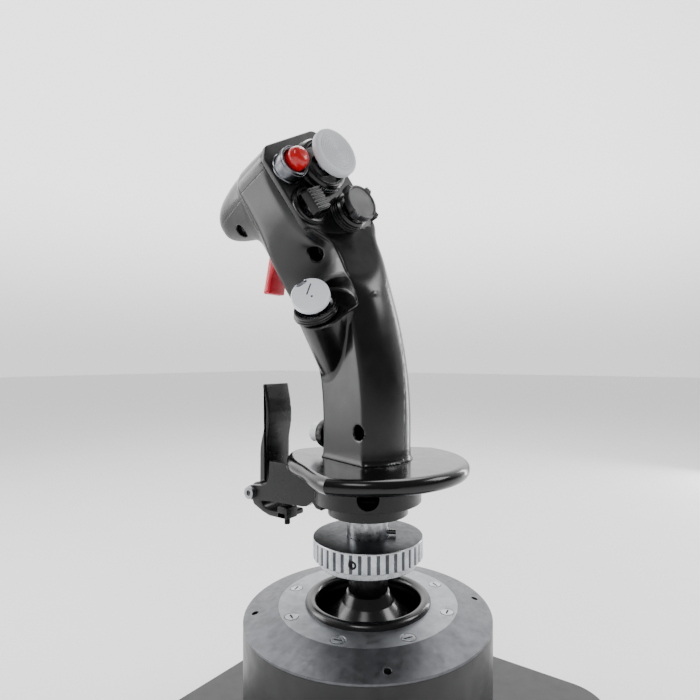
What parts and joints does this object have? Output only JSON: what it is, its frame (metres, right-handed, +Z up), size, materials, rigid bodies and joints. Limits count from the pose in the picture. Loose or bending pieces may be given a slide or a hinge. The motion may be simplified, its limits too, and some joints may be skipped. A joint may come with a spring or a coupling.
{
  "type": "flight joystick",
  "caption": "Desk flight joystick: round gimbal base, steel shaft, hand rest, pistol grip with thumb hats, trigger, fire button and pinky lever.",
  "frame": {"origin": "middle of the base's underside, under the feet, on the axis of the upright shaft", "axes": "+Z up, +Y away from the pilot, +X to the pilot's right"},
  "size_m": [0.19, 0.19, 0.2997],
  "materials": {
    "grip_black": "satin black moulding with soft reflections",
    "rest_black": "satin black moulding",
    "anodised_black": "black anodised, fine brushed",
    "rim_black": "glossy black",
    "steel": "bright turned steel with stains",
    "ring_aluminium": "satin aluminium, knurled",
    "deck_grey": "light grey satin",
    "shoulder_metal": "dark circular-brushed metal",
    "housing_black": "black powder coat",
    "screw_steel": "plain steel",
    "screw_black": "black oxide",
    "rubber_black": "matte",
    "board_green": "solder mask",
    "bronze": "sintered bushes",
    "fire_red": "glossy red",
    "trigger_red": "satin red-pink",
    "cap_grey": "light grey",
    "cap_white": "off-white",
    "cap_dark": "dark grey-black",
    "guard_metal": "brushed dark metal"
  },
  "bodies": {
    "base": {"base_plate": "housing_black", "base_feet": "rubber_black", "base_housing": "housing_black", "housing_screws": "screw_steel", "shoulder_ring": "shoulder_metal", "ring_frame": "housing_black", "top_ring": "deck_grey", "top_ring_screws": "screw_steel", "boot_rim": "rim_black", "gimbal_bracket": "ring_aluminium", "roll_bearings": "bronze", "roll_sensor": "housing_black", "roll_spring": "screw_steel", "main_board": "board_green", "cable_gland": "rim_black"},
    "gimbal": {"gimbal_ring": "ring_aluminium", "roll_pins": "steel", "pitch_bearings": "bronze", "pitch_sensor": "housing_black", "pitch_spring": "screw_steel"},
    "stick": {"gimbal_hub": "ring_aluminium", "pitch_pins": "steel", "dust_dome": "rim_black", "shaft_sleeve": "rim_black", "steel_shaft": "steel", "key_pin": "steel", "neck_flange": "anodised_black", "drum_bracket": "anodised_black", "hand_rest": "rest_black", "paddle_pin": "screw_steel", "paddle_spring": "screw_steel", "grip_left_shell": "grip_black", "grip_right_shell": "grip_black", "head_cover": "grip_black", "shell_screws": "screw_black", "grip_board": "board_green", "switch_panel": "rim_black", "trim_collar": "cap_dark", "castle_base": "rim_black", "notched_column": "rim_black", "fire_guard": "guard_metal", "side_hat_bezel": "rim_black", "pinky_bezel": "guard_metal", "trigger_pin": "steel", "trigger_frame": "housing_black"},
    "lock_ring": {"locking_ring": "ring_aluminium", "ring_set_screw": "screw_black"},
    "paddle": {"paddle_lever": "anodised_black", "paddle_stop_screw": "screw_black"},
    "trigger": {"trigger": "trigger_red"},
    "fire": {"fire_button": "fire_red"},
    "pinky": {"pinky_button": "cap_grey"},
    "trim_rocker": {"trim_ball": "steel"},
    "trim": {"trim_cap": "cap_grey"},
    "castle_rocker": {"castle_ball": "steel"},
    "castle": {"castle_cap": "rim_black"},
    "notched_rocker": {"notched_ball": "steel"},
    "notched": {"notched_cap": "cap_dark"},
    "side_rocker": {"side_hat_ball": "steel"},
    "side_hat": {"side_hat_cap": "cap_white"}
  },
  "joints": [
    {"name": "stick_roll", "type": "hinge", "parent": "base", "child": "gimbal", "pos_m": [0, 0, 0.036], "axis": [0, 1, 0], "range_deg": [-15, 15], "stiffness_Nm_per_rad": 8},
    {"name": "stick_pitch", "type": "hinge", "parent": "gimbal", "child": "stick", "pos_m": [0, 0, 0.036], "axis": [1, 0, 0], "range_deg": [-15, 15], "stiffness_Nm_per_rad": 8},
    {"name": "ring_turn", "type": "hinge", "parent": "stick", "child": "lock_ring", "pos_m": [0, 0, 0.0955], "axis": [0, 0, 1], "continuous": true},
    {"name": "paddle_pull", "type": "hinge", "parent": "stick", "child": "paddle", "pos_m": [0, 0.0627, 0.1174], "axis": [1, 0, 0], "range_deg": [0, 12], "stiffness_Nm_per_rad": 0.6, "springref_deg": -8.59},
    {"name": "trigger_pull", "type": "hinge", "parent": "stick", "child": "trigger", "pos_m": [-0.01, 0.044, 0.252], "axis": [-1, 0, 0], "range_deg": [0, 9], "stiffness_Nm_per_rad": 0.4, "springref_deg": -8.59},
    {"name": "fire_press", "type": "slide", "parent": "stick", "child": "fire", "axis": [0.206, 0.9369, -0.2823], "range_m": [0, 0.002], "stiffness_N_per_m": 900, "springref_m": -0.0015},
    {"name": "pinky_press", "type": "slide", "parent": "stick", "child": "pinky", "axis": [0, -1, 0], "range_m": [0, 0.0015], "stiffness_N_per_m": 900, "springref_m": -0.0015},
    {"name": "trim_up_down", "type": "hinge", "parent": "stick", "child": "trim_rocker", "pos_m": [-0.01988, 0.01249, 0.27932], "axis": [0.8908, -0.0601, 0.4504], "range_deg": [-8, 8], "stiffness_Nm_per_rad": 0.12},
    {"name": "trim_left_right", "type": "hinge", "parent": "trim_rocker", "child": "trim", "pos_m": [-0.01988, 0.01249, 0.27932], "axis": [-0.405, 0.3443, 0.847], "range_deg": [-8, 8], "stiffness_Nm_per_rad": 0.12},
    {"name": "castle_up_down", "type": "hinge", "parent": "stick", "child": "castle_rocker", "pos_m": [-0.02974, 0.01075, 0.25642], "axis": [0.8908, -0.0601, 0.4504], "range_deg": [-8, 8], "stiffness_Nm_per_rad": 0.12},
    {"name": "castle_left_right", "type": "hinge", "parent": "castle_rocker", "child": "castle", "pos_m": [-0.02974, 0.01075, 0.25642], "axis": [-0.405, 0.3443, 0.847], "range_deg": [-8, 8], "stiffness_Nm_per_rad": 0.12},
    {"name": "notched_up_down", "type": "hinge", "parent": "stick", "child": "notched_rocker", "pos_m": [-0.00858, 0.00292, 0.25791], "axis": [0.8908, -0.0601, 0.4504], "range_deg": [-8, 8], "stiffness_Nm_per_rad": 0.12},
    {"name": "notched_left_right", "type": "hinge", "parent": "notched_rocker", "child": "notched", "pos_m": [-0.00858, 0.00292, 0.25791], "axis": [-0.405, 0.3443, 0.847], "range_deg": [-8, 8], "stiffness_Nm_per_rad": 0.12},
    {"name": "side_up_down", "type": "hinge", "parent": "stick", "child": "side_rocker", "pos_m": [-0.02777, 0.00899, 0.20896], "axis": [-0.1211, 0.9835, 0.1347], "range_deg": [-7, 7], "stiffness_Nm_per_rad": 0.12},
    {"name": "side_left_right", "type": "hinge", "parent": "side_rocker", "child": "side_hat", "pos_m": [-0.02777, 0.00899, 0.20896], "axis": [-0.7437, 0, -0.6686], "range_deg": [-7, 7], "stiffness_Nm_per_rad": 0.12}
  ]
}
